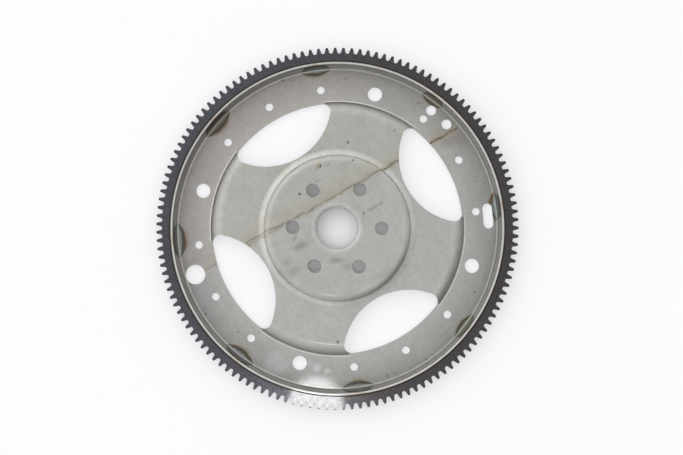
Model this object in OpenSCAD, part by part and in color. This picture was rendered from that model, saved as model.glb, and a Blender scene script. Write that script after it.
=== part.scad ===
// Flexplate: a pressed steel plate with a toothed starter ring welded onto its rim.
// The plate lies on its flat ring, with the rim, the web and the hub rising from it.

/* [Sheet] */
// Thickness of the pressed sheet
sheet_t = 2.5; // [2:0.1:3]

/* [Rim] */
// Height of the rim's cut edge above the resting face
rim_h = 11.5; // [10.5:0.1:13]
// Inside radius of the bend at the foot of the rim
rim_bend_r = 3; // [2.5:0.1:4]
// Break on both corners of the rim's cut edge
rim_edge_break = 0.6; // [0.1:0.1:0.9]

/* [Ring gear] */
// Diameter over the tooth tips
gear_d = 310.4; // [308:0.2:314]
// Number of teeth
teeth = 135; // [120:1:150]
// Pressure angle of the teeth
pressure_angle = 14.5; // [14:0.5:20]
// Amount by which each tooth is thinned to run freely
tooth_thinning = 0.45; // [0:0.05:0.6]
// Depth of the gear from the tooth tips to its bore
gear_depth = 11.7; // [10.5:0.1:13]
// Width of the gear along its axis
gear_w = 9.5; // [8.5:0.1:10.5]
// Height of the gear's lower face above the resting face
gear_lift = 1.5; // [1.2:0.1:2]
// Chamfer on the edges of the gear's bore
gear_bore_chamfer = 0.4; // [0.2:0.1:1.2]
// Chamfer on the ends of the teeth
tooth_chamfer = 0.9; // [0.3:0.1:1.5]

/* [Welds] */
// Number of weld beads between the plate and the ring gear
weld_count = 8; // [4:1:12]
// Length of one bead from end to end
weld_len = 19; // [10:1:26]
// Radius of a bead's round face
weld_r = 2.4; // [2.2:0.1:2.6]

/* [Web] */
// Distance from the rim's outside in to where the flat ring starts to bend up to the web
flat_w = 33.3; // [32:0.1:34.5]
// Height of the web above the flat ring
web_rise = 5.5; // [4:0.1:7]
// Radius of the hollow bend at the web's foot
web_foot_bend_r = 1.5; // [1:0.1:3]
// Radius of the round shoulder at the web's top
web_shoulder_r = 12; // [9:0.5:14]

/* [Hub] */
// Diameter at which the web starts to bend up to the hub
hub_foot_d = 133.2; // [130:0.2:135]
// Height of the hub above the web
hub_rise = 4.5; // [3.5:0.1:6]
// Radius of the hollow bend at the hub's foot
hub_foot_bend_r = 5; // [4:0.1:6]
// Radius of the round shoulder at the hub's top
hub_shoulder_r = 7; // [6:0.1:8]

/* [Crankshaft holes] */
// Diameter of the centre bore
bore_d = 34.93; // [30:0.01:40]
// Width of the sloping lead-in round the bore
bore_lead_w = 2.6; // [1:0.1:4]
// Depth of the sloping lead-in round the bore
bore_lead_h = 1; // [0.3:0.1:1.5]
// Diameter of the circle of crankshaft bolts
crank_circle_d = 76.2; // [70:0.1:84]
// Number of crankshaft bolts
crank_count = 6; // [4:1:8]
// Diameter of a crankshaft bolt's hole
crank_hole_d = 11.4; // [9:0.1:13]
// Angle by which one crankshaft hole is moved along the circle, so that the plate fits one way
crank_key_angle = 3.75; // [0:0.25:6]
// Break on the upper edge of each crankshaft hole
crank_edge_break = 0.4; // [0.1:0.1:1]

/* [Rim holes] */
// Distance from the rim's outside in to the circle of converter bolts and small holes
converter_inset = 23.1; // [21.5:0.1:25]
// Number of places on that circle
rim_places = 16; // [8:4:24]
// Diameter of a converter bolt's hole, at every fourth place
converter_hole_d = 12.3; // [9:0.1:14]
// Diameter of a small hole, at the other places
small_hole_d = 6.6; // [4:0.1:9]
// Distance from the rim's outside in to the circle of the slot and the pair of tool holes
tool_inset = 13.2; // [12.5:0.1:14.5]
// Diameter of each hole of the pair
pair_hole_d = 8.6; // [6:0.1:10]
// Width of the slot
slot_w = 8.4; // [6:0.1:10]
// Length of the slot from end to end
slot_len = 21.6; // [16:0.1:26]
// Diameter of the single large hole
large_hole_d = 16.9; // [12:0.1:18]
// Distance from the rim's outside in to the large hole's centre
large_inset = 14.7; // [14.2:0.1:16]

/* [Windows] */
// Number of windows between the hub and the flat ring
window_count = 4; // [3:1:4]
// Width of the level lip that the flat ring keeps along a window's outer edge
window_lip = 1.9; // [1.7:0.1:4]
// Distance from the hub's foot to the nearest point of a window
window_clear = 2.4; // [1.4:0.2:9]
// Radius of a window's inner edge
window_arc_r = 56.5; // [50:0.5:60]
// Radius of a window's two corners
window_corner_r = 6.9; // [4:0.1:8]

/* [Hidden] */
$fn = 360;

// Room by which every cutting shape passes the faces that it cuts
over = 2;

// Radii and levels of the sheet
seat_r = gear_d / 2 - gear_depth;
bend_centre = [seat_r - sheet_t - rim_bend_r, sheet_t + rim_bend_r];
bend_steps = 10;
web_foot_r = seat_r - flat_w;
hub_foot_r = hub_foot_d / 2;
hub_z = web_rise + hub_rise;
top_z = max(hub_z + sheet_t, rim_h);
bore_r = bore_d / 2;

// Steepest angle of each rise, and the radius at which its shoulder ends
web_slope = acos(1 - web_rise / (web_foot_bend_r + web_shoulder_r));
hub_slope = acos(1 - hub_rise / (hub_foot_bend_r + hub_shoulder_r));
web_edge_r = web_foot_r - (web_foot_bend_r + web_shoulder_r) * sin(web_slope);
hub_edge_r = hub_foot_r - (hub_foot_bend_r + hub_shoulder_r) * sin(hub_slope);

// Circles of holes on the flat ring, and angles of the features that stand alone there
converter_circle_d = 2 * (seat_r - converter_inset);
tool_circle_d = 2 * (seat_r - tool_inset);
large_circle_d = 2 * (seat_r - large_inset);
pair_angles = [14.25, 22.15];
slot_angle = -24.7;
large_hole_angle = 168.7;

// The hole of the crankshaft circle that is moved, counted from the first
crank_first = 30;
crank_key = 1;

// Welds: clear of the resting face, and a little off their even places as hand-laid beads are
weld_first = 22.5;
weld_clear = 0.2;
weld_middle = [seat_r - 0.8 * weld_r, weld_r + weld_clear];
weld_scatter = [1.5, 1, -3, -2.5, 0.5, 0.5, 0.5, 1];

// Window corners: discs that touch both edges of the window from inside, and pass them by a hair
window_outer_r = web_foot_r - window_lip;
window_centre = hub_foot_r + window_clear + window_arc_r;
corner_from_axis = window_outer_r - window_corner_r;
corner_from_arc = window_arc_r - window_corner_r;
corner_x = (corner_from_axis ^ 2 - corner_from_arc ^ 2 + window_centre ^ 2) / (2 * window_centre);
corner = [corner_x, sqrt(corner_from_axis ^ 2 - corner_x ^ 2)];
corner_overlap = 0.02;
window_flat_angle = atan2(corner[1], corner[0]) + asin(window_corner_r / corner_from_axis) / 2;

// Lines from one corner's centre to where its disc touches the two edges, and on past them
corner_reach = 3 * window_corner_r;
corner_cut = [
    corner + corner_reach * (corner - [window_centre, 0]) / corner_from_arc,
    corner,
    corner + corner_reach * corner / corner_from_axis
];

// Proportions of full-depth involute teeth
module_mm = gear_d / (teeth + 2);
pitch_r = module_mm * teeth / 2;
base_r = pitch_r * cos(pressure_angle);
thin_half = tooth_thinning / pitch_r * 90 / PI;
tip_r = gear_d / 2;
root_r = tip_r - 2.25 * module_mm;
fillet_r = root_r + 0.55 * module_mm;
tip_break = 0.12 * module_mm;
root_steps = 6;

// Involute function, in degrees
function inv(angle) = tan(angle) * 180 / PI - angle;
// Half of a tooth's thickness at radius r, as an angle
function tooth_half(r) = 90 / teeth - thin_half + inv(pressure_angle) - inv(acos(base_r / r));
function polar(r, angle) = [r * cos(angle), r * sin(angle)];

// One tooth and the round root after it, anticlockwise, with the tooth centred on angle a
function tooth_points(a) =
    let (
        pitch = 360 / teeth,
        gap_half = pitch / 2 - tooth_half(fillet_r),
        flank = [fillet_r, pitch_r, tip_r - tip_break],
        tip_half = tooth_half(tip_r) - tip_break / tip_r * 180 / PI
    )
    concat(
        [for (r = flank) polar(r, a - tooth_half(r))],
        [polar(tip_r, a - tip_half), polar(tip_r, a + tip_half)],
        [for (i = [2:-1:0]) polar(flank[i], a + tooth_half(flank[i]))],
        [for (i = [1:root_steps - 1])
            let (turn = 180 * i / root_steps)
            polar(fillet_r - (fillet_r - root_r) * sin(turn), a + pitch / 2 - gap_half * cos(turn))]
    );

// Points along an arc, from one angle to another
function arc(centre, r, from, to) =
    [for (i = [0:bend_steps]) centre + polar(r, from + (to - from) * i / bend_steps)];
function without_first(points) = [for (i = [1:len(points) - 1]) points[i]];
function reversed(points) = [for (i = [len(points) - 1:-1:0]) points[i]];
function mirrored(points) = [for (p = points) [p[0], -p[1]]];

// One side of the S-shaped rise between two flats, from the shoulder out to the foot.
// Depth is 0 on the upper side and the sheet's thickness on the underside.
function rise(foot_r, edge_r, z, foot_bend_r, shoulder_r, slope, height, depth) =
    concat(
        arc([edge_r, z + height + sheet_t - shoulder_r], shoulder_r - depth, 90, 90 - slope),
        without_first(arc([foot_r, z + sheet_t + foot_bend_r], foot_bend_r + depth, 270 - slope, 270))
    );

// One side of the sheet, from the hub's shoulder out to the top of the rim's bend
function sheet_side(depth) =
    concat(
        rise(hub_foot_r, hub_edge_r, web_rise, hub_foot_bend_r, hub_shoulder_r, hub_slope, hub_rise, depth),
        rise(web_foot_r, web_edge_r, 0, web_foot_bend_r, web_shoulder_r, web_slope, web_rise, depth),
        arc(bend_centre, rim_bend_r + depth, 270, 360)
    );

// The bore with its sloping lead-in, and the rim's cut edge with its corners broken
bore_edge = [
    [bore_r, hub_z],
    [bore_r, hub_z + sheet_t - bore_lead_h],
    [bore_r + bore_lead_w, hub_z + sheet_t]
];
rim_edge = [
    [seat_r - sheet_t, rim_h - rim_edge_break],
    [seat_r - sheet_t + rim_edge_break, rim_h],
    [seat_r - rim_edge_break, rim_h],
    [seat_r, rim_h - rim_edge_break]
];

// Half section of the whole sheet, from the bore to the rim
module sheet_section() {
    polygon(concat(bore_edge, sheet_side(0), rim_edge, reversed(sheet_side(sheet_t))));
}

// Plan of one window: two arcs that meet in round corners
module window_plan() {
    intersection() {
        circle(window_outer_r);
        translate([window_centre, 0]) circle(window_arc_r);
        polygon(concat(
            corner_cut,
            reversed(mirrored(corner_cut)),
            [[0, -corner_cut[0][1]], [0, corner_cut[0][1]]]
        ));
    }
    for (centre = concat([corner], mirrored([corner])))
        translate(centre) circle(window_corner_r + corner_overlap);
}

// One window, and the level edge of the flat ring along it
module window() {
    translate([0, 0, -over]) linear_extrude(top_z + 2 * over) window_plan();
    rotate([0, 0, -window_flat_angle])
        rotate_extrude(angle = 2 * window_flat_angle)
            translate([window_outer_r - over / 4, sheet_t])
                square([window_lip + over / 2, web_rise + over]);
}

// A round hole right through the plate
module hole(d, circle_d, angle) {
    translate([each polar(circle_d / 2, angle), -over]) cylinder(d = d, h = top_z + 2 * over);
}

// A hole for a crankshaft bolt, with its upper edge broken
module crank_hole(angle) {
    hole(crank_hole_d, crank_circle_d, angle);
    translate([each polar(crank_circle_d / 2, angle), hub_z + sheet_t - crank_edge_break])
        cylinder(d1 = crank_hole_d, d2 = crank_hole_d + 4 * crank_edge_break, h = 2 * crank_edge_break);
}

// A strip with round ends, along Y
module stadium(w, len) {
    square([w, len - w], center = true);
    for (end = [-1, 1])
        translate([0, end * (len - w) / 2]) circle(d = w);
}

// The slot lies along its circle
module slot() {
    rotate([0, 0, slot_angle])
        translate([tool_circle_d / 2, 0, -over]) linear_extrude(sheet_t + 2 * over) stadium(slot_w, slot_len);
}

module stamped_plate() {
    color("#a9a9a3")
        difference() {
            rotate_extrude() sheet_section();
            for (i = [0:window_count - 1])
                rotate([0, 0, i * 360 / window_count]) window();
            for (i = [0:crank_count - 1])
                crank_hole(crank_first + i * 360 / crank_count + (i == crank_key ? crank_key_angle : 0));
            for (i = [0:rim_places - 1])
                hole(i % 4 == 2 ? converter_hole_d : small_hole_d, converter_circle_d, i * 360 / rim_places);
            for (angle = pair_angles)
                hole(pair_hole_d, tool_circle_d, angle);
            hole(large_hole_d, large_circle_d, large_hole_angle);
            slot();
        }
}

// Half section of the ring gear's blank, with chamfers on the bore and on the tooth ends
module gear_section() {
    outer_r = tip_r + tip_break;
    top = gear_lift + gear_w;
    polygon([
        [seat_r + gear_bore_chamfer, gear_lift],
        [outer_r - tooth_chamfer, gear_lift],
        [outer_r, gear_lift + tooth_chamfer],
        [outer_r, top - tooth_chamfer],
        [outer_r - tooth_chamfer, top],
        [seat_r + gear_bore_chamfer, top],
        [seat_r, top - gear_bore_chamfer],
        [seat_r, gear_lift + gear_bore_chamfer]
    ]);
}

module ring_gear() {
    color("#3c3b3f")
        intersection() {
            translate([0, 0, gear_lift])
                linear_extrude(gear_w)
                    polygon([for (i = [0:teeth - 1]) each tooth_points(i * 360 / teeth)]);
            rotate_extrude() gear_section();
        }
}

// Section of the metal that a bead lies against: the outside of the rim's bend, and the ring gear
module weld_walls() {
    polygon(concat([bend_centre], arc(bend_centre, rim_bend_r + sheet_t, 270, 360)));
    gear_section();
}

// One bead along the groove between the rim's bend and the gear's lower edge, with round ends
module weld_bead() {
    half = weld_len / weld_middle[0] * 180 / PI;
    intersection() {
        rotate([0, 0, -half])
            rotate_extrude(angle = 2 * half)
                difference() {
                    translate(weld_middle) circle(weld_r);
                    weld_walls();
                }
        translate([weld_middle[0], 0, -over]) linear_extrude(rim_h + over) stadium(2 * weld_r, weld_len);
    }
}

module weld_beads() {
    color("#6e6a66")
        for (i = [0:weld_count - 1])
            rotate([0, 0, weld_first + i * 360 / weld_count + weld_scatter[i % len(weld_scatter)]])
                weld_bead();
}

stamped_plate();
ring_gear();
weld_beads();
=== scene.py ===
# %% [markdown]
# # A flexplate: pressed steel with a ring of teeth
# A flexplate is the thin steel disc that joins a crankshaft to a torque converter. It is pressed from one
# sheet, and a toothed ring for the starter is welded round its rim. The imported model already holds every
# shape at its real size, so this lesson loads it and spends its effort on light, steel, stains and welds.

# %% Load the model
import math

import bmesh
import bpy
from mathutils import Matrix, Vector


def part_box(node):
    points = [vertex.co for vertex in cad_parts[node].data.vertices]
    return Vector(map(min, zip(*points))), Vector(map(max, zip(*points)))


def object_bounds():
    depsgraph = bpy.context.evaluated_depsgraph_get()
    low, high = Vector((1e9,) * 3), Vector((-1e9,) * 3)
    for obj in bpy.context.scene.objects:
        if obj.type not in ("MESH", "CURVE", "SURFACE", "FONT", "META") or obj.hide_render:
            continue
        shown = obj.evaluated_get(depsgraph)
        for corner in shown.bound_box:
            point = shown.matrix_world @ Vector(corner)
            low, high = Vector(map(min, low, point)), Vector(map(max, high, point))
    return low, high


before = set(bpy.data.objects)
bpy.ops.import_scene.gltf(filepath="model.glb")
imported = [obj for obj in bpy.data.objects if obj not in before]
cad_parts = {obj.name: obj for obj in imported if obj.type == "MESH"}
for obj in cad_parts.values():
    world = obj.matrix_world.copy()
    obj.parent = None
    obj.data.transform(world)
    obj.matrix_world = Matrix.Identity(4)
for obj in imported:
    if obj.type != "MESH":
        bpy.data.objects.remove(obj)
cad_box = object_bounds()
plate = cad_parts["stamped_plate"]
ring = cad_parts["ring_gear"]
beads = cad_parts["weld_beads"]
MM = 0.001
print("loaded", sorted(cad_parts), "size mm", [round(v / MM, 1) for v in cad_box[1] - cad_box[0]])

# %% [markdown]
# ## Camera
# The part lies flat and is seen from a metre above, very nearly along its axis. A camera could be turned by
# hand until it looks right. Here its three axes are worked out from where it stands, what it looks at and
# which way is up in the picture, so that one small tilt and one turn set the whole view.

# %% Camera
IMAGE_W = 683
SENSOR_W = 36.0
CLIP_START = 0.05
focal_px = 1156.1
picture_turn = math.radians(29.36)
camera_place = Vector((-5.4, -28.5, 1000.0)) * MM
camera_target = Vector((3.45, -1.08, 0.0)) * MM
picture_up = Vector((math.sin(picture_turn), math.cos(picture_turn), 0.0))


def looking(place, target, up):
    """The matrix of a camera or lamp that stands at place and faces target."""
    back = (place - target).normalized()
    right = up.cross(back).normalized()
    turn = Matrix((right, back.cross(right), back)).transposed().to_4x4()
    return Matrix.Translation(place) @ turn


camera = bpy.data.objects.new("camera", bpy.data.cameras.new("camera"))
bpy.context.scene.collection.objects.link(camera)
camera.data.sensor_width = SENSOR_W
camera.data.lens = focal_px * SENSOR_W / IMAGE_W
camera.data.clip_start = CLIP_START
camera.matrix_world = looking(camera_place, camera_target, picture_up)
bpy.context.scene.camera = camera
bpy.context.scene.view_settings.view_transform = "Standard"
print("lens mm", round(camera.data.lens, 2))

# %% [markdown]
# ## A short way to write materials
# A material is a graph of nodes, and steel needs many of them. Each could be placed by hand in the editor.
# A small helper keeps the script readable instead: every method makes one node or a few, takes numbers or
# other nodes' outputs, and returns its own output, so a recipe reads like arithmetic.

# %% Material helper
NOISE_LOW, NOISE_HIGH = 0.3, 0.7
MIX_SHARE, MIX_FIRST, MIX_SECOND, MIX_RESULT = 0, 6, 7, 2
OVAL_TALL = 1.0


class Finish:
    """One material and short names for its nodes."""

    def __init__(self, name):
        self.material = bpy.data.materials.new(name)
        self.material.use_nodes = True
        self.tree = self.material.node_tree
        self.shader = self.tree.nodes["Principled BSDF"]
        self.place = self.node("ShaderNodeTexCoord").outputs["Object"]

    def node(self, kind, **settings):
        made = self.tree.nodes.new(kind)
        for key, value in settings.items():
            setattr(made, key, value)
        return made

    def feed(self, socket, value):
        if isinstance(value, bpy.types.NodeSocket):
            self.tree.links.new(value, socket)
        else:
            socket.default_value = value

    def math(self, operation, *values, clamp=False):
        made = self.node("ShaderNodeMath", operation=operation, use_clamp=clamp)
        for socket, value in zip(made.inputs, values):
            self.feed(socket, value)
        return made.outputs[0]

    def both(self, first, second, clamp=False):
        """Two masks or tones multiplied, so that only their common part is left."""
        return self.math("MULTIPLY", first, second, clamp=clamp)

    def vector(self, operation, *values):
        made = self.node("ShaderNodeVectorMath", operation=operation)
        for socket, value in zip(made.inputs, values):
            self.feed(socket, value)
        return made.outputs["Value" if operation in ("LENGTH", "DOT_PRODUCT") else "Vector"]

    def split(self, value):
        """The x, y and z of a place."""
        made = self.node("ShaderNodeSeparateXYZ")
        self.feed(made.inputs[0], value)
        return made.outputs

    def from_axis(self):
        """Distance from the part's axis."""
        return self.vector("LENGTH", self.vector("MULTIPLY", self.place, (1.0, 1.0, 0.0)))

    def toward(self, bearing):
        """How far a place lies from the axis towards a bearing."""
        return self.vector("DOT_PRODUCT", self.place, (math.cos(bearing), math.sin(bearing), 0.0))

    def fade(self, value, start, end):
        """0 where value is start, 1 where it is end, and a smooth change between."""
        made = self.node("ShaderNodeMapRange", interpolation_type="SMOOTHSTEP")
        self.feed(made.inputs["Value"], value)
        low, high = (0.0, 1.0) if start < end else (1.0, 0.0)
        made.inputs["From Min"].default_value = min(start, end)
        made.inputs["From Max"].default_value = max(start, end)
        made.inputs["To Min"].default_value = low
        made.inputs["To Max"].default_value = high
        return made.outputs["Result"]

    def band(self, value, start, full, full_end, end):
        """1 from full to full_end, and 0 before start and after end."""
        return self.both(self.fade(value, start, full), self.fade(value, end, full_end))

    def spread(self, value, low, high):
        """A noise value spread over a range of plain numbers."""
        made = self.node("ShaderNodeMapRange")
        self.feed(made.inputs["Value"], value)
        made.inputs["From Min"].default_value = NOISE_LOW
        made.inputs["From Max"].default_value = NOISE_HIGH
        made.inputs["To Min"].default_value = low
        made.inputs["To Max"].default_value = high
        return made.outputs["Result"]

    def mix(self, share, first, second, blend="MIX"):
        made = self.node("ShaderNodeMix", data_type="RGBA", blend_type=blend)
        for index, value in ((MIX_SHARE, share), (MIX_FIRST, first), (MIX_SECOND, second)):
            if isinstance(value, tuple):
                value = (*value, 1.0)
            self.feed(made.inputs[index], value)
        return made.outputs[MIX_RESULT]

    def shade(self, colour, by, share=None):
        """A colour multiplied by another one, all over or only as far as share says."""
        shaded = self.mix(1.0, colour, by, "MULTIPLY")
        return shaded if share is None else self.mix(share, colour, shaded)

    def noise(self, grain_mm, detail=3.0, rough=0.55, stretch=None):
        """Noise whose grains are about this many millimetres across."""
        place = self.vector("MULTIPLY", self.place, stretch) if stretch else self.place
        made = self.node("ShaderNodeTexNoise")
        self.feed(made.inputs["Vector"], place)
        made.inputs["Scale"].default_value = 1.0 / (grain_mm * MM)
        made.inputs["Detail"].default_value = detail
        made.inputs["Roughness"].default_value = rough
        return made.outputs["Fac"]

    def ramp(self, value, stops):
        """A colour for each value, blended between the given stops."""
        made = self.node("ShaderNodeValToRGB")
        self.feed(made.inputs[0], value)
        points = made.color_ramp.elements
        while len(points) < len(stops):
            points.new(0.5)
        for point, (place, colour) in zip(points, stops):
            point.position = place
            point.color = (*colour, 1.0)
        return made.outputs["Color"]

    def oval(self, x_mm, y_mm, long_mm, wide_mm, turn):
        """Distance from the middle of an oval patch: 1 on its outline, less inside."""
        made = self.node("ShaderNodeMapping", vector_type="TEXTURE")
        self.feed(made.inputs["Vector"], self.place)
        made.inputs["Location"].default_value = (x_mm * MM, y_mm * MM, 0.0)
        made.inputs["Rotation"].default_value = (0.0, 0.0, turn)
        made.inputs["Scale"].default_value = (long_mm * MM, wide_mm * MM, OVAL_TALL)
        return self.vector("LENGTH", made.outputs["Vector"])

    def bump(self, height, depth_mm, normal=None):
        made = self.node("ShaderNodeBump")
        made.inputs["Strength"].default_value = 1.0
        made.inputs["Distance"].default_value = depth_mm * MM
        self.feed(made.inputs["Height"], height)
        if normal is not None:
            self.feed(made.inputs["Normal"], normal)
        return made.outputs["Normal"]

    def wear(self, piece):
        """Makes this the only material of a piece."""
        piece.data.materials.clear()
        piece.data.materials.append(self.material)


print("material helper ready")

# %% [markdown]
# ## Floor
# The part lies on white card, which is one flat face. The card has to look nearly white. More light would do
# that, but it would wash out the steel too. So a share of the card glows, and only where a camera or a
# reflection looks at it, and it lights nothing. Under the hub, where little light gets in, the glow fades
# out, and everywhere the card keeps part of the object's shadow.

# %% Floor
floor_half = 6.0
floor_gap = 0.05 * MM
floor_mesh = bmesh.new()
bmesh.ops.create_grid(floor_mesh, x_segments=1, y_segments=1, size=floor_half)
bmesh.ops.translate(floor_mesh, verts=floor_mesh.verts, vec=(0.0, 0.0, cad_box[0].z - floor_gap))
floor_data = bpy.data.meshes.new("floor")
floor_mesh.to_mesh(floor_data)
floor_mesh.free()
floor = bpy.data.objects.new("floor", floor_data)
bpy.context.scene.collection.objects.link(floor)
print("floor at z mm", round(floor_data.vertices[0].co.z / MM, 3))

# %% White card
card_dim = (0.89, 0.889, 0.893)
card_bright = (0.91, 0.909, 0.913)
glow_tint = (0.99, 0.995, 1.01, 1.0)
glow_level = 0.92
glow_under_hub = 0.02
glow_in_open = 0.6
hub_shadow_edge = (46 * MM, 66 * MM)
card = Finish("white_card")
card_colour = card.mix(card.noise(60.0, detail=2.0), card_dim, card_bright)
card.feed(card.shader.inputs["Base Color"], card_colour)
card.shader.inputs["Roughness"].default_value = 0.9
card.shader.inputs["Specular IOR Level"].default_value = 0.1
ray = card.node("ShaderNodeLightPath")
seen = card.math("MAXIMUM", ray.outputs["Is Camera Ray"], ray.outputs["Is Glossy Ray"])
seen = card.math("MAXIMUM", seen, ray.outputs["Is Transmission Ray"])
in_open = card.fade(card.vector("LENGTH", card.place), *hub_shadow_edge)
glow_share = card.math("MULTIPLY_ADD", in_open, glow_in_open - glow_under_hub, glow_under_hub)
glow = card.node("ShaderNodeEmission")
glow.inputs["Color"].default_value = glow_tint
glow.inputs["Strength"].default_value = glow_level
card_mix = card.node("ShaderNodeMixShader")
card.feed(card_mix.inputs[0], card.both(seen, glow_share))
card.feed(card_mix.inputs[1], card.shader.outputs["BSDF"])
card.feed(card_mix.inputs[2], glow.outputs["Emission"])
card.feed(card.tree.nodes["Material Output"].inputs["Surface"], card_mix.outputs["Shader"])
card.wear(floor)
print("card nodes", len(card.tree.nodes))

# %% [markdown]
# ## Lamps
# One broad key light stands high to one side. The second lamp is small and round, hangs near the camera, and
# mostly shows itself: the oily steel mirrors it as a bright patch on the ring and a crescent beside it. That
# patch could be painted on, but a painted one would stay where it is when the view moves, so a lamp makes it.

# %% Lamps
key_bearing = math.radians(108.0)
key_height = math.radians(42.0)
key_distance = 1.8
key_size = 0.9
key_power = 1.43
lamp_place = Vector((-176.0, -218.5, 1000.0)) * MM
lamp_width = 94.0 * MM
lamp_power = 0.43


def area_lamp(name, place, target, shape, size, power):
    """A flat lamp that faces target."""
    data = bpy.data.lights.new(name, "AREA")
    data.shape = shape
    data.size = size
    data.energy = power
    made = bpy.data.objects.new(name, data)
    made.matrix_world = looking(place, target, picture_up)
    bpy.context.scene.collection.objects.link(made)


key_way = Vector((
    math.cos(key_bearing) * math.cos(key_height),
    math.sin(key_bearing) * math.cos(key_height),
    math.sin(key_height),
))
area_lamp("key_light", key_way * key_distance, Vector(), "SQUARE", key_size, key_power)
area_lamp("round_lamp", lamp_place, lamp_place - Vector((0, 0, 1)), "DISK", lamp_width, lamp_power)

# %% [markdown]
# ## Light tent
# The lamps stand in a tent of white cloth. Steel mirrors what is round it, so the tent's tone matters as much
# as its brightness. Its walls could be modelled, but a world that reads only the direction does the same. It
# is brighter low down and towards the key light, and has one dark open side, so it models every bend without
# a hard shadow.

# %% World helpers
world = bpy.data.worlds.new("studio")
bpy.context.scene.world = world
world.use_nodes = True
sky = world.node_tree
way = sky.nodes.new("ShaderNodeTexCoord").outputs["Generated"]


def pointing(axis):
    """How far a direction points along axis, from -1 to 1."""
    share = sky.nodes.new("ShaderNodeVectorMath")
    share.operation = "DOT_PRODUCT"
    share.inputs[1].default_value = axis
    sky.links.new(way, share.inputs[0])
    return share.outputs["Value"]


def graded(value, start, end, low, high):
    """low where value is start, high where it is end, and an even change between."""
    made = sky.nodes.new("ShaderNodeMapRange")
    sky.links.new(value, made.inputs["Value"])
    for name, number in (("From Min", start), ("From Max", end), ("To Min", low), ("To Max", high)):
        made.inputs[name].default_value = number
    return made.outputs["Result"]


def times(first, second):
    """Two values of the world multiplied."""
    made = sky.nodes.new("ShaderNodeMath")
    made.operation = "MULTIPLY"
    sky.links.new(first, made.inputs[0])
    sky.links.new(second, made.inputs[1])
    return made.outputs[0]


print("world helpers ready")

# %% Light tent
room_level = 0.857
low_gain = 1.15
bright_side = 0.3
open_side = 0.2
open_edge = (-0.95, -0.7)
room_tint = (0.985, 0.99, 1.0, 1.0)
toward_key = pointing((math.cos(key_bearing), math.sin(key_bearing), 0.0))
slant = graded(toward_key, -1.0, 1.0, 1.0 - bright_side, 1.0 + bright_side)
gap = graded(toward_key, *open_edge, open_side, 1.0)
height = graded(pointing((0.0, 0.0, 1.0)), 0.0, 1.0, room_level * (1.0 + low_gain), room_level)
background = sky.nodes["Background"]
sky.links.new(times(times(slant, gap), height), background.inputs["Strength"])
background.inputs["Color"].default_value = room_tint
print("tent from", room_level, "overhead to", round(room_level * (1.0 + low_gain), 2), "low down")

# %% [markdown]
# ## Smooth bends
# The pressed bends come from the CAD model as narrow bands. They could be subdivided, but the shape is
# already right and only its shading is banded. A small node group joins the bands' edges and shades smoothly
# across every edge that turns less than a set angle, so real corners stay crisp. Level faces stay flat, or
# they would seem to curve towards the bends beside them. The group also notes on each face how far it looks
# up, because the stains lie on the upper side alone.

# %% Smooth shading
weld_gap = 0.002 * MM
level_limit = 0.99999


def smooth_group(degrees):
    """Joins loose bands, shades bends up to this angle smoothly, and notes which way faces look."""
    group = bpy.data.node_groups.new("smooth_bends", "GeometryNodeTree")
    group.interface.new_socket("Geometry", in_out="INPUT", socket_type="NodeSocketGeometry")
    group.interface.new_socket("Geometry", in_out="OUTPUT", socket_type="NodeSocketGeometry")
    start = group.nodes.new("NodeGroupInput")
    end = group.nodes.new("NodeGroupOutput")
    plain = group.nodes.new("GeometryNodeRemoveAttribute")
    plain.inputs["Name"].default_value = "custom_normal"
    joined = group.nodes.new("GeometryNodeMergeByDistance")
    joined.inputs["Distance"].default_value = weld_gap
    parts = group.nodes.new("ShaderNodeSeparateXYZ")
    group.links.new(group.nodes.new("GeometryNodeInputNormal").outputs[0], parts.inputs[0])
    tag = group.nodes.new("GeometryNodeStoreNamedAttribute")
    tag.data_type = "FLOAT"
    tag.domain = "FACE"
    tag.inputs["Name"].default_value = "upward"
    group.links.new(parts.outputs["Z"], tag.inputs["Value"])
    upright = group.nodes.new("ShaderNodeMath")
    upright.operation = "ABSOLUTE"
    group.links.new(parts.outputs["Z"], upright.inputs[0])
    bent = group.nodes.new("FunctionNodeCompare")
    bent.operation = "LESS_THAN"
    bent.inputs["B"].default_value = level_limit
    group.links.new(upright.outputs[0], bent.inputs["A"])
    faces = group.nodes.new("GeometryNodeSetShadeSmooth")
    faces.domain = "FACE"
    group.links.new(bent.outputs["Result"], faces.inputs["Shade Smooth"])
    angle = group.nodes.new("GeometryNodeInputMeshEdgeAngle")
    sharp = group.nodes.new("FunctionNodeCompare")
    sharp.operation = "GREATER_THAN"
    sharp.inputs["B"].default_value = math.radians(degrees)
    group.links.new(angle.outputs["Unsigned Angle"], sharp.inputs["A"])
    edges = group.nodes.new("GeometryNodeSetShadeSmooth")
    edges.domain = "EDGE"
    edges.inputs["Shade Smooth"].default_value = False
    group.links.new(sharp.outputs["Result"], edges.inputs["Selection"])
    chain = [start, plain, joined, tag, faces, edges, end]
    for first, second in zip(chain, chain[1:]):
        group.links.new(first.outputs[0], second.inputs[0])
    return group


FULL_WEIGHT = 100
plate_angle, ring_angle, bead_angle = 20.0, 34.0, 50.0
for piece, degrees in ((plate, plate_angle), (ring, ring_angle), (beads, bead_angle)):
    piece.modifiers.new("smooth_bends", "NODES").node_group = smooth_group(degrees)
    flats = piece.modifiers.new("flat_faces", "WEIGHTED_NORMAL")
    flats.mode = "FACE_AREA"
    flats.weight = FULL_WEIGHT
    flats.keep_sharp = True
print("smoothed", [p.name for p in (plate, ring, beads)])

# %% [markdown]
# ## Bare pressed steel
# The plate is dull bare steel under a thin film of oil. One grey would look like plastic, so the colour is
# built in layers, each laid over the last. The first layer is the tone of the sheet: clouds, fine grain,
# faint streaks along the direction in which it was rolled, and a mottle. A scanned picture of steel would
# hold all of them. Noise of four sizes, added up, does so at any resolution.

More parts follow.
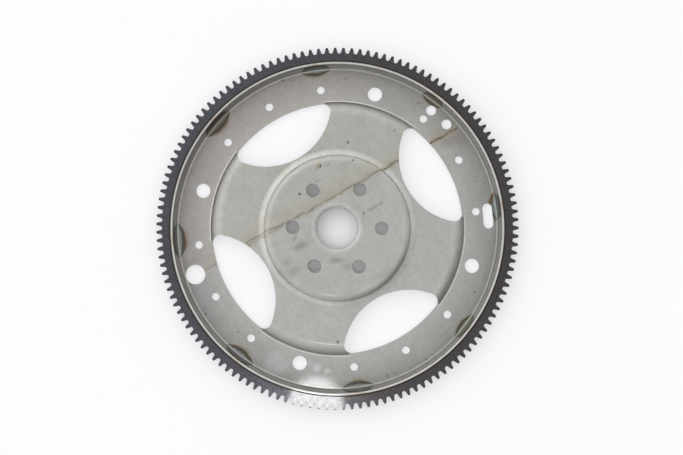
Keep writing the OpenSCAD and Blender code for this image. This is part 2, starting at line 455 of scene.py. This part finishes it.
# %% Sheet tone
cloud_depth = 0.045
rolled_stretch = (1.0, 0.06, 1.0)
steel = Finish("pressed_steel")
x, y, z = steel.split(steel.place)
radius = steel.from_axis()
tone = steel.spread(steel.noise(34.0, detail=4.0), -cloud_depth, cloud_depth)
for layer, depth in (
    (steel.noise(0.9, detail=2.0), 0.09),
    (steel.noise(1.6, detail=2.0, stretch=rolled_stretch), 0.02),
    (steel.noise(5.0, detail=5.0, rough=0.65), 0.07),
):
    tone = steel.math("ADD", tone, steel.spread(layer, -depth, depth))
print("tone nodes", len(steel.tree.nodes))

# %% [markdown]
# ## Darker towards the rim
# Hub and web are pale, and the flat ring outside them gets darker towards the rim: painted shade of the
# recess inside the rim wall. One side of the plate also leans to pink and the other to green. A painted map
# could hold both. The part is round, so a ramp over the distance from the axis and a fade along one bearing
# do it with no map.

# %% Sheet colour
sheet_grey = (0.393, 0.392, 0.376)
flat_ring_r = 109.0 * MM
rim_inner_r = 141.0 * MM
ring_start = flat_ring_r / rim_inner_r
ring_step = 0.012
out_to_rim = steel.math("MULTIPLY", radius, 1.0 / rim_inner_r)
# painted shade: the flat ring darkens towards the recess by the rim wall
rim_recess_shade = steel.ramp(out_to_rim, [
    (0.0, (1.0, 1.0, 1.0)),
    (ring_start - ring_step, (1.0, 1.0, 1.0)),
    (ring_start, (0.95, 0.95, 0.955)),
    (0.93, (0.71, 0.705, 0.71)),
    (0.985, (0.55, 0.545, 0.545)),
])
colour = steel.shade(steel.shade(sheet_grey, rim_recess_shade), steel.math("ADD", 1.0, tone))
step_blend = 1.5 * MM
pink_side = math.radians(120.0)
pink_reach = 0.14
pink_inside = 0.45
green_lean = (0.995, 1.008, 0.985)
pink_lean = (1.02, 0.988, 0.985)
outer_part = steel.fade(radius, flat_ring_r - step_blend, flat_ring_r + step_blend)
lean = steel.toward(pink_side)
pink = steel.both(steel.fade(lean, -pink_reach, pink_reach), steel.spread(outer_part, pink_inside, 1.0))
colour = steel.shade(colour, steel.mix(pink, green_lean, pink_lean))
print("flat ring from r mm", flat_ring_r / MM)

# %% [markdown]
# ## Painted light along the bends
# Beside the bends lie pale and dull rings: painted highlights where a bend would catch the light, and
# painted shade where it turns away. They could be separate strips of mesh. A list of distances from the axis
# in millimetres, each with a tone, makes all of them in one ramp. A ramp is meant for colours from 0 to 1 and
# some of these tones are above 1, so they go in with a half taken off and get it back after.

# %% Painted bend light
bend_light_and_shade = [
    (0.0, 1.0), (17.0, 0.85), (18.2, 0.85), (18.9, 1.1), (21.0, 1.14), (22.5, 1.0),
    (56.0, 1.0), (58.0, 1.05), (60.0, 0.97), (61.6, 0.9), (62.6, 0.9), (63.6, 1.18),
    (66.3, 1.18), (68.0, 1.0),
    (97.0, 1.0), (101.0, 1.1), (103.0, 1.0), (104.0, 0.92), (105.5, 0.81), (107.0, 0.88), (109.2, 1.0),
]
HALF = 0.5
stops = [(r * MM / rim_inner_r, (tone_there - HALF,) * 3) for r, tone_there in bend_light_and_shade]
# painted highlights and painted shade beside the bends, by distance from the axis
painted_bend_light = steel.math("ADD", steel.ramp(out_to_rim, stops), HALF)
colour = steel.shade(colour, painted_bend_light)
print("tones from the axis outwards", len(bend_light_and_shade))

# %% [markdown]
# ## Lines at the web's foot
# Where the web comes down to the flat ring there is a thin painted highlight, and on one side a painted shade
# of the step just inside it. Both stop at the windows. They are too thin to be worth geometry, so each is a
# narrow band of distance from the axis, kept to the four arms between the windows.

# %% Lines at the web's foot
arm_edge = (41 * MM, 46 * MM)
step_shade_side = (-0.03, 0.05)
step_shade_tone = (0.52, 0.52, 0.52)
foot_highlight = (1.5, 1.5, 1.5)
off_window = steel.math("MINIMUM", steel.math("ABSOLUTE", x), steel.math("ABSOLUTE", y))
on_arm = steel.fade(off_window, *arm_edge)
# painted shade of the step, just inside it and on one side only
painted_step_shade = steel.band(radius, 107.9 * MM, 108.4 * MM, 109.3 * MM, 109.7 * MM)
painted_step_shade = steel.both(painted_step_shade, steel.both(on_arm, steel.fade(lean, *step_shade_side)))
colour = steel.shade(colour, step_shade_tone, painted_step_shade)
# painted highlight along the web's foot
foot = steel.band(radius, 109.4 * MM, 109.8 * MM, 110.3 * MM, 110.9 * MM)
colour = steel.shade(colour, foot_highlight, steel.both(foot, on_arm))
print("sheet layers", len(steel.tree.nodes))

# %% [markdown]
# ## The stain line
# Something once covered half of this plate, and its edge dried to a thin brown line straight across it, with
# a warmer film on one side. Painting the line by hand would need a texture. Distance from a straight line,
# pushed about by a little noise, gives the same wandering edge at any resolution. The faces' upward tag keeps
# it off the underside.

# %% Stained film
stain_y = 24.8 * MM
stain_wander = 0.8 * MM
film_tint = (0.985, 0.972, 0.95)
warm_tint = (0.92, 0.895, 0.84)
upward = steel.node("ShaderNodeAttribute", attribute_name="upward")
top_side = steel.fade(upward.outputs["Fac"], -0.1, 0.1)
unstained = colour
wander = steel.spread(steel.noise(7.0, detail=4.0), -stain_wander, stain_wander)
off_line = steel.math("SUBTRACT", y, steel.math("ADD", wander, stain_y))
film = steel.fade(off_line, -1.5 * MM, 3.0 * MM)
colour = steel.shade(colour, film_tint, film)
warm = steel.both(film, steel.fade(off_line, 18 * MM, 3 * MM))
warm = steel.both(warm, steel.spread(steel.noise(22.0), 0.1, 1.1), clamp=True)
colour = steel.shade(colour, warm_tint, warm)
print("stain line at y mm", stain_y / MM)

# %% Stain line
left_strength, hub_gain, right_gain = 0.3, 0.14, 0.4
fringe_share = 0.8
fringe_brown = (0.294, 0.235, 0.133)
core_brown = (0.07, 0.053, 0.034)
strength = steel.math("MULTIPLY_ADD", steel.fade(x, -45 * MM, -15 * MM), hub_gain, left_strength)
strength = steel.math("ADD", strength, steel.both(steel.fade(x, 45 * MM, 85 * MM), right_gain))
strength = steel.both(strength, steel.fade(x, 134.5 * MM, 131.0 * MM))
broken = steel.both(strength, steel.spread(steel.noise(3.2, detail=4.0), 0.35, 1.4), clamp=True)
away = steel.math("ABSOLUTE", off_line)
fringe = steel.both(broken, steel.fade(away, 4.2 * MM, 0.6 * MM))
core = steel.both(broken, steel.fade(away, 1.25 * MM, 0.3 * MM))
colour = steel.mix(steel.both(fringe, fringe_share), colour, fringe_brown)
colour = steel.mix(core, colour, core_brown)
print("stain nodes", len(steel.tree.nodes))

# %% [markdown]
# ## A second line
# On one side of the hub the stain dried twice and left a second, fainter line that parts slowly from the
# first. It could be a second stain. Moving the same wandering distance aside by a growing amount keeps both
# lines alike, as two edges of one puddle are.

# %% Second stain line
second_apart = 2.6 * MM
second_share = 0.42
second_brown = (0.105, 0.084, 0.053)
apart = steel.both(steel.fade(x, -36 * MM, -52 * MM), second_apart)
second = steel.math("ABSOLUTE", steel.math("SUBTRACT", off_line, apart))
second = steel.both(steel.fade(second, 1.1 * MM, 0.3 * MM), steel.fade(x, -34 * MM, -42 * MM))
second = steel.both(second, steel.fade(x, -100 * MM, -84 * MM))
colour = steel.mix(steel.both(second, second_share), colour, second_brown)
colour = steel.mix(top_side, unstained, colour)
print("second line mm apart", second_apart / MM)

# %% [markdown]
# ## The drawn rim
# The rim was drawn up round a die. A painted highlight lies along the line where the bend starts. The wall
# is darker, darkest at its foot, with fine upright scores. The sheared edge on top is the brightest, since it
# was cut and never stained. Each could be a material of its own on its own faces. A single coordinate does
# all
# of it: the way along the sheet, which is 0 where the bend starts, less on the flat ring and more up the
# wall.

# %% Rim wall
bend_start_r = 138.0 * MM
sheet_t = 2.5 * MM
bend_start_highlight = (2.0, 2.0, 2.0)
upright_stretch = (1.0, 1.0, 0.04)
wall_low = (0.095, 0.091, 0.081)
wall_high = (0.199, 0.19, 0.175)
up_the_sheet = steel.math("SUBTRACT", steel.math("ADD", radius, z), bend_start_r + sheet_t)
near_rim = steel.fade(radius, bend_start_r - 8 * MM, bend_start_r - 5 * MM)
# painted highlight along the line where the bend starts
line = steel.both(steel.fade(up_the_sheet, -1.3 * MM, -0.5 * MM), near_rim)
colour = steel.shade(colour, bend_start_highlight, line)
scores = steel.noise(0.7, detail=2.0, stretch=upright_stretch)
wall_tone = steel.both(steel.spread(scores, 0.85, 1.15), steel.spread(steel.noise(12.0), 0.9, 1.1))
wall = steel.both(steel.fade(up_the_sheet, 0.1 * MM, 0.7 * MM), near_rim)
wall_base = steel.mix(steel.fade(up_the_sheet, 1.0 * MM, 5.0 * MM), wall_low, wall_high)
colour = steel.mix(wall, colour, steel.shade(wall_base, wall_tone))
print("bend starts at r mm", bend_start_r / MM)

# %% Cut edge and groove
rim_edge_z = 11.35 * MM
cut_dull = (0.406, 0.389, 0.37)
cut_bright = (0.63, 0.62, 0.602)
groove_dirt = (0.031, 0.024, 0.018)
cut = steel.both(steel.fade(z, rim_edge_z - 0.2 * MM, rim_edge_z), near_rim)
colour = steel.mix(cut, colour, steel.mix(steel.noise(6.0), cut_dull, cut_bright))
groove = steel.both(steel.fade(radius, 142.45 * MM, 142.9 * MM), steel.fade(z, 5 * MM, 8 * MM))
colour = steel.mix(groove, colour, groove_dirt)
scale_film = steel.both(wall, steel.math("SUBTRACT", 1.0, cut))
print("cut edge at z mm", rim_edge_z / MM)

# %% [markdown]
# ## Heat marks
# The ring is welded on from below, and the heat of each weld came through the sheet. Steel that has been hot
# keeps a tint: grey-green in the middle, near black at the edge, brown outside it. The marks could be decals.
# They sit over the beads, so their angles are read from the bead solids instead.

# %% Where the beads are
bead_gap = math.radians(8.0)
turns = sorted(math.atan2(v.co.y, v.co.x) % math.tau for v in beads.data.vertices)
groups = [[turns[0]]]
for turn in turns[1:]:
    if turn - groups[-1][-1] > bead_gap:
        groups.append([])
    groups[-1].append(turn)
bead_turns = [(min(g) + max(g)) / 2 for g in groups]
print("beads at degrees", [round(math.degrees(t), 1) for t in bead_turns])

# %% [markdown]
# ## Shape and tint of a heat mark
# Each mark is an almond that lies across the bend, partly on the flat ring and partly up the wall, and no two
# are the same size. An oval would not follow the bend. The way along the sheet, divided by how deep the
# almond is at that place, is 1 on its outline and less inside, so one ramp then colours all eight.

# %% Almond
mark_rise = 9.0 * MM
thinnest = 0.01


def almond(turn, half_mm, depth_mm):
    """How far a place is from the bend as a share of the almond's depth there: 1 on its outline."""
    turned = steel.node("ShaderNodeMapping", vector_type="TEXTURE")
    steel.feed(turned.inputs["Vector"], steel.place)
    turned.inputs["Rotation"].default_value = (0.0, 0.0, turn)
    outward, sideways, _ = steel.split(turned.outputs["Vector"])
    across = steel.math("MULTIPLY", sideways, 1.0 / (half_mm * MM))
    full = steel.math("SUBTRACT", 1.0, steel.both(across, across))
    full = steel.both(full, steel.math("GREATER_THAN", outward, 0.0))
    full = steel.math("MAXIMUM", full, thinnest)
    below = steel.math("MULTIPLY", up_the_sheet, -1.0 / (depth_mm * MM))
    reach = steel.math("MAXIMUM", below, steel.math("MULTIPLY", up_the_sheet, 1.0 / mark_rise))
    return steel.math("DIVIDE", reach, full)


print("almonds rise mm", mark_rise / MM)

# %% Heat tint
marks = [
    (11.0, 3.4, (0.82, 0.8, 0.64)),
    (13.0, 4.2, (0.86, 0.9, 0.88)),
    (15.0, 5.6, (0.58, 0.53, 0.47)),
    (15.0, 6.0, (0.92, 1.05, 1.02)),
    (14.5, 5.0, (0.84, 0.84, 0.92)),
    (14.0, 5.0, (0.93, 0.92, 0.93)),
    (12.5, 3.8, (0.86, 0.88, 0.74)),
    (12.0, 5.0, (0.82, 0.95, 0.93)),
]
wall_heat = (0.31, 0.32, 0.28)
heat = None
inside = (1.0, 1.0, 1.0)
for turn, (half_mm, depth_mm, mark_tint) in zip(bead_turns, marks):
    mark = almond(turn, half_mm, depth_mm)
    inside = steel.mix(steel.fade(mark, 0.95, 0.6), inside, mark_tint)
    heat = mark if heat is None else steel.math("MINIMUM", heat, mark)
heat = steel.math("ADD", heat, steel.spread(steel.noise(6.0), -0.08, 0.08))
outline = steel.ramp(steel.math("MULTIPLY", heat, HALF), [
    (0.0, (1.0, 1.0, 1.0)),
    (0.22, (0.9, 0.9, 0.88)),
    (0.31, (0.34, 0.33, 0.26)),
    (0.46, (0.15, 0.128, 0.09)),
    (0.54, (0.36, 0.27, 0.17)),
    (0.63, (0.76, 0.64, 0.49)),
    (0.8, (0.97, 0.93, 0.87)),
    (1.0, (1.0, 1.0, 1.0)),
])
tint = steel.shade(inside, outline)
on_wall = steel.both(steel.fade(heat, 1.0, 0.8), steel.fade(up_the_sheet, 0.2 * MM, 0.8 * MM))
tint = steel.shade(tint, wall_heat, on_wall)
colour = steel.shade(colour, tint, steel.fade(up_the_sheet, -30 * MM, -20 * MM))
print("heat marks", len(bead_turns))

# %% [markdown]
# ## Spots and dirt
# Small rust specks and dirty places are what make old steel believable. Each could be a decal. Here each is
# one oval with a place, a length and width in millimetres, a turn in degrees, a colour and a share, and its
# edge is roughened by noise.

# %% Spots
dark_dirt = (0.056, 0.05, 0.042)
rust_brown = (0.133, 0.081, 0.039)
yellow_rust = (0.238, 0.217, 0.098)
spots = [
    (11.5, 53.8, 3.6, 1.8, 20, yellow_rust, 0.5),
    (13.3, 53.2, 1.6, 0.9, 40, dark_dirt, 0.85),
    (19.4, 51.2, 2.4, 1.1, 0, yellow_rust, 0.4),
    (44.0, 60.0, 1.0, 1.5, 30, dark_dirt, 0.65),
    (40.0, 44.0, 1.0, 0.9, 0, dark_dirt, 0.8),
    (84.0, 49.0, 1.5, 1.1, 0, dark_dirt, 0.34),
    (-14.0, 41.0, 1.3, 1.1, 0, dark_dirt, 0.85),
    (114.0, 60.0, 1.5, 1.1, 0, rust_brown, 0.5),
    (76.0, -106.0, 1.3, 1.1, 0, dark_dirt, 0.5),
    (91.0, -98.0, 1.2, 1.0, 0, dark_dirt, 0.4),
    (11.0, -135.5, 1.4, 0.9, 20, dark_dirt, 0.55),
    (-25.0, -131.5, 1.3, 1.0, 0, dark_dirt, 0.6),
    (-47.5, -85.0, 1.3, 1.1, 0, dark_dirt, 0.8),
    (-118.5, -36.0, 1.4, 1.0, 0, dark_dirt, 0.5),
    (-135.0, -9.0, 1.7, 1.0, 80, dark_dirt, 0.5),
    (21.5, 135.0, 1.5, 1.0, 0, dark_dirt, 0.55),
    (70.0, 109.5, 2.2, 1.2, 0, dark_dirt, 0.3),
    (128.6, -42.8, 6.5, 1.7, 40, rust_brown, 0.75),
    (122.7, -59.5, 2.6, 1.1, 70, dark_dirt, 0.7),
]
spot_edge = (1.25, 0.55)
spot_ragged = 0.35
spotless = colour
ragged = steel.spread(steel.noise(1.5), -spot_ragged, spot_ragged)
for spot_x, spot_y, long_mm, wide_mm, degrees, spot_colour, share in spots:
    reach = steel.oval(spot_x, spot_y, long_mm, wide_mm, math.radians(degrees))
    cover = steel.fade(steel.math("ADD", reach, ragged), *spot_edge)
    colour = steel.mix(steel.both(cover, share), colour, spot_colour)
print("spots", len(spots))

# %% [markdown]
# ## Soft shades
# Hands and oily cloths left wider smudges with no edge at all, and one long oval on the hub's slope is
# painted shade. Clouds of noise would put them anywhere. Ovals that fade all the way to their middle put each
# one where it belongs.

# %% Soft shades
grey_smudge_and_shade = (0.238, 0.238, 0.22)
shades = [
    (-34.8, 2.1, 9.5, 4.4, -8, grey_smudge_and_shade, 0.85),
    (35.0, 0.0, 7.0, 2.4, 0, dark_dirt, 0.3),
    (25.7, -0.3, 2.4, 1.4, 60, dark_dirt, 0.5),
    (42.9, 0.2, 2.4, 1.8, 0, dark_dirt, 0.36),
    (5.2, 43.4, 5.5, 1.3, -10, dark_dirt, 0.26),
    (-2.2, 44.4, 3.0, 1.2, 30, dark_dirt, 0.2),
    (-36.1, 10.2, 5.5, 1.6, 30, grey_smudge_and_shade, 0.7),
    (-7.3, -33.6, 8.0, 4.0, -20, grey_smudge_and_shade, 0.45),
    (-14.5, -23.7, 9.0, 4.0, -29, grey_smudge_and_shade, 0.75),
    (-50.0, -14.0, 8.0, 6.0, 0, grey_smudge_and_shade, 0.55),
    # painted shade on this side of the hub's slope, not a smudge
    (-60.8, -12.0, 4.5, 17.0, 11, grey_smudge_and_shade, 0.5),
    (-52.1, -4.4, 6.5, 4.5, 0, grey_smudge_and_shade, 0.5),
    (15.5, -53.8, 9.0, 5.0, 0, grey_smudge_and_shade, 0.35),
    (122.3, 18.8, 15.0, 8.0, 0, rust_brown, 0.28),
    (130.0, 12.0, 8.0, 10.0, 0, rust_brown, 0.2),
]
shade_edge = (1.2, 0.0)
for shade_x, shade_y, long_mm, wide_mm, degrees, shade_colour, share in shades:
    reach = steel.oval(shade_x, shade_y, long_mm, wide_mm, math.radians(degrees))
    colour = steel.mix(steel.both(steel.fade(reach, *shade_edge), share), colour, shade_colour)
print("soft shades", len(shades))

# %% [markdown]
# ## Painted glints
# A few pale rounds on the flat ring, in the tone of the round lamp's glare, are painted reflections of that
# lamp. Each is a circle with a soft edge and a low share. After them the underside gets back the colour from
# before the spots, since all these marks lie on top.

# %% Painted glints
painted_glints = [
    (-74.3, -95.9, 4.2, 0.36),
    (-67.9, -102.6, 3.2, 0.26),
    (-77.8, -89.7, 3.0, 0.16),
    (-103.4, -75.3, 12.0, 0.16),
]
glint_edge = (1.15, 0.45)
glint_pale = (0.658, 0.686, 0.693)
# painted reflections of the round lamp
for glint_x, glint_y, wide_mm, share in painted_glints:
    reach = steel.oval(glint_x, glint_y, wide_mm, wide_mm, 0.0)
    colour = steel.mix(steel.both(steel.fade(reach, *glint_edge), share), colour, glint_pale)
colour = steel.mix(top_side, spotless, colour)
print("dried drops", len(painted_glints))

# %% [markdown]
# ## Oil film and fine shape
# Bare steel is a dull metal, and the oil on it is a clear, nearly smooth coat that is thicker on the flat
# ring. Lower roughness alone would make chrome of it, so the shader's coat does the oil. The drawn wall
# carries scale and is hardly metal. A bump adds the sheet's pits, and carries the bend at the hub's foot a
# little further out than the model has it.

# %% Oil film and fine shape
wall_loss = -0.85
dull_range = (0.48, 0.55)
oil_inside, oil_gain = 0.4, 0.5
oil_rough, oil_ior = 0.06, 1.45
hub_foot_edge = (68.8 * MM, 64.5 * MM)
hub_foot_mm, pit_mm = 1.0, 0.012
steel.feed(steel.shader.inputs["Base Color"], colour)
steel.feed(steel.shader.inputs["Metallic"], steel.math("MULTIPLY_ADD", scale_film, wall_loss, 1.0))
dull = steel.spread(steel.noise(3.0, detail=4.0), *dull_range)
steel.feed(steel.shader.inputs["Roughness"], dull)
oil = steel.math("MULTIPLY_ADD", outer_part, oil_gain, oil_inside)
steel.feed(steel.shader.inputs["Coat Weight"], oil)
steel.shader.inputs["Coat Roughness"].default_value = oil_rough
steel.shader.inputs["Coat IOR"].default_value = oil_ior
hub_foot = steel.both(steel.fade(radius, *hub_foot_edge), top_side)
pits = steel.bump(steel.noise(0.6, detail=3.0), pit_mm, steel.bump(hub_foot, hub_foot_mm))
steel.feed(steel.shader.inputs["Normal"], pits)
steel.wear(plate)
print("plate nodes", len(steel.tree.nodes))

# %% [markdown]
# ## Dark gear steel
# The ring is hardened and nearly black, smoother than the sheet, with brown dirt in the groove where it meets
# the rim and paler metal where the starter's pinion has rubbed the tooth ends. A flat black would hide the
# teeth, so the tone drifts round the ring from brown to blue, and the rubbed places follow the distance from
# the axis.

# %% Gear colour
brown_black = (0.037, 0.0326, 0.0315)
blue_black = (0.054, 0.056, 0.067)
blue_side = math.radians(150.0)
blue_reach = 0.14
blue_drift = 0.25
cool_patch = (0.86, 0.96, 1.2)
warm_patch = (1.16, 1.0, 0.84)
gear = Finish("dark_gear_steel")
gear_radius = gear.from_axis()
drift = gear.spread(gear.noise(50.0, detail=3.0), -blue_drift, blue_drift)
side = gear.fade(gear.toward(blue_side), -blue_reach, blue_reach)
side = gear.math("ADD", side, drift, clamp=True)
black = gear.mix(side, brown_black, blue_black)
patches = gear.spread(gear.noise(2.6, detail=3.0), 0.0, 1.0)
black = gear.shade(black, gear.mix(patches, cool_patch, warm_patch))
black = gear.shade(black, gear.spread(gear.noise(1.2, detail=3.0), 0.45, 1.55))
print("gear colour nodes", len(gear.tree.nodes))

# %% Gear wear and oil
tip_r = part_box("ring_gear")[1].x
seat_r = rim_inner_r + sheet_t
tip_metal = (0.068, 0.068, 0.072)
seat_dirt = (0.04, 0.029, 0.02)
gear_oil_rough = 0.05
gear_pit_mm = 0.008
rubbed_tips = gear.fade(gear_radius, tip_r - 2.2 * MM, tip_r - 0.2 * MM)
rubbed_tips = gear.both(rubbed_tips, gear.spread(gear.noise(4.0), 0.1, 0.6), clamp=True)
black = gear.mix(rubbed_tips, black, tip_metal)
seat = gear.fade(gear_radius, seat_r + 2.0 * MM, seat_r + 0.6 * MM)
seat = gear.both(seat, gear.spread(gear.noise(16.0), 0.35, 0.95), clamp=True)
black = gear.mix(seat, black, seat_dirt)
gear.feed(gear.shader.inputs["Base Color"], black)
gear.shader.inputs["Metallic"].default_value = 1.0
gear.feed(gear.shader.inputs["Roughness"], gear.spread(gear.noise(2.5), 0.2, 0.28))
off_tips = gear.fade(gear_radius, tip_r + 2.5 * MM, tip_r - 3.0 * MM)
gear_oil = gear.both(gear.spread(gear.noise(3.0, detail=4.0), 0.7, 1.0), off_tips)
gear.feed(gear.shader.inputs["Coat Weight"], gear_oil)
gear.shader.inputs["Coat Roughness"].default_value = gear_oil_rough
gear.feed(gear.shader.inputs["Normal"], gear.bump(gear.noise(0.7), gear_pit_mm))
gear.wear(ring)
print("ring nodes", len(gear.tree.nodes))

# %% [markdown]
# ## Weld metal
# Each bead was laid in one pass and set in ripples, grey with brown scale between them. The ripples could be
# cut into the mesh, but they are a tenth of a millimetre high. A sine of the bearing round the axis, shifted
# by noise so that no two are alike, makes them as a bump across every bead at once.

# %% Weld finish
ripple_pitch = 1.4 * MM
ripple_shift = 0.8
ripple_mm, grit_mm = 0.09, 0.05
bead_grey = (0.28, 0.266, 0.252)
scale_brown = (0.098, 0.078, 0.063)
weld = Finish("weld_metal")
scale = weld.noise(2.2, detail=4.0)
weld_colour = weld.mix(weld.spread(scale, 0.0, 1.0), bead_grey, scale_brown)
weld.feed(weld.shader.inputs["Base Color"], weld_colour)
weld.shader.inputs["Metallic"].default_value = 1.0
weld.feed(weld.shader.inputs["Roughness"], weld.spread(scale, 0.35, 0.6))
weld_x, weld_y, _ = weld.split(weld.place)
bearing = weld.math("ARCTAN2", weld_y, weld_x)
shift = weld.spread(weld.noise(3.0), -ripple_shift, ripple_shift)
ripple = weld.math("SINE", weld.math("MULTIPLY_ADD", bearing, math.tau * seat_r / ripple_pitch, shift))
ripples = weld.bump(ripple, ripple_mm)
weld.feed(weld.shader.inputs["Normal"], weld.bump(weld.noise(0.8), grit_mm, ripples))
weld.wear(beads)
print("weld nodes", len(weld.tree.nodes))
